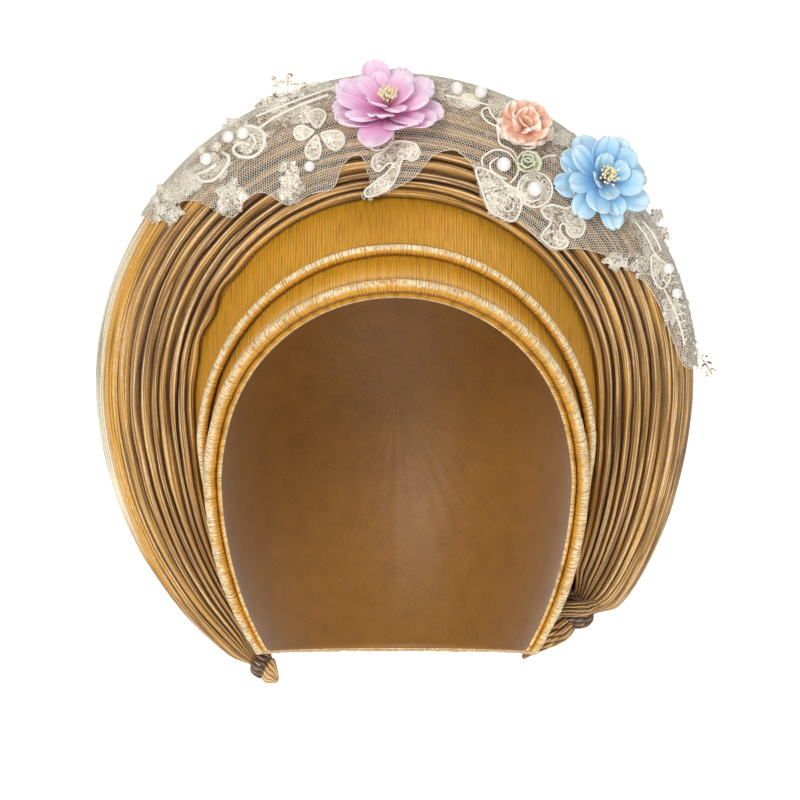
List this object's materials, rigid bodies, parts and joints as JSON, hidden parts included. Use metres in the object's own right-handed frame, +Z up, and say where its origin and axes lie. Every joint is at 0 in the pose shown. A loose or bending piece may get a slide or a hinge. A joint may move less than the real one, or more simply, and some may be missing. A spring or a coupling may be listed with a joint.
{
  "type": "turban hat",
  "caption": "Pre-tied pleated turban hat: padded brow bands, a halo of fine pleats gathered at both ends, scalloped lace with cloth flowers and pearls.",
  "frame": {"origin": "top of the head space, where the inside of the cap rests on the crown of the head", "axes": "+Z up, -Y towards the wearer's face side, +X to the right as seen from the front"},
  "size_m": [0.2724, 0.1817, 0.273],
  "materials": {
    "gold_satin": "golden ochre satin with fine ribs across the band",
    "bronze_lurex": "pleated bronze cloth with fine metallic threads lengthwise",
    "dark_lurex": "dark brown gathered cloth with silver threads",
    "champagne_lace": "champagne net with raised cream cords",
    "pink_petal": "matte lavender pink cloth petals, magenta at the base",
    "blue_petal": "matte sky blue cloth petals",
    "peach_petal": "ruffled peach satin with cream edges",
    "green_petal": "pale olive satin",
    "stamen_yellow": "waxed yellow thread tips",
    "pearl": "white imitation pearl"
  },
  "bodies": {
    "root": {"blue_flower": "blue_petal", "blue_stamens": "stamen_yellow", "crown_cap": "gold_satin", "green_bud": "green_petal", "inner_band": "gold_satin", "lace_applique": "champagne_lace", "lace_star": "champagne_lace", "lace_strand": "champagne_lace", "left_tail": "bronze_lurex", "left_tie": "dark_lurex", "outer_band": "gold_satin", "outer_drape": "bronze_lurex", "peach_flower": "peach_petal", "pearl_edge_lower": "pearl", "pearl_edge_upper": "pearl", "pearl_scroll_lower": "pearl", "pearl_scroll_side": "pearl", "pearl_scroll_upper": "pearl", "pearl_small": "pearl", "pearl_spiral_lower": "pearl", "pearl_spiral_upper": "pearl", "pearl_top_left": "pearl", "pearl_top_right": "pearl", "pink_flower": "pink_petal", "pink_stamens": "stamen_yellow", "pleat_fan": "bronze_lurex", "right_strap": "bronze_lurex", "right_tail": "bronze_lurex", "right_tie": "dark_lurex", "rim_roll": "gold_satin"}
  },
  "joints": []
}
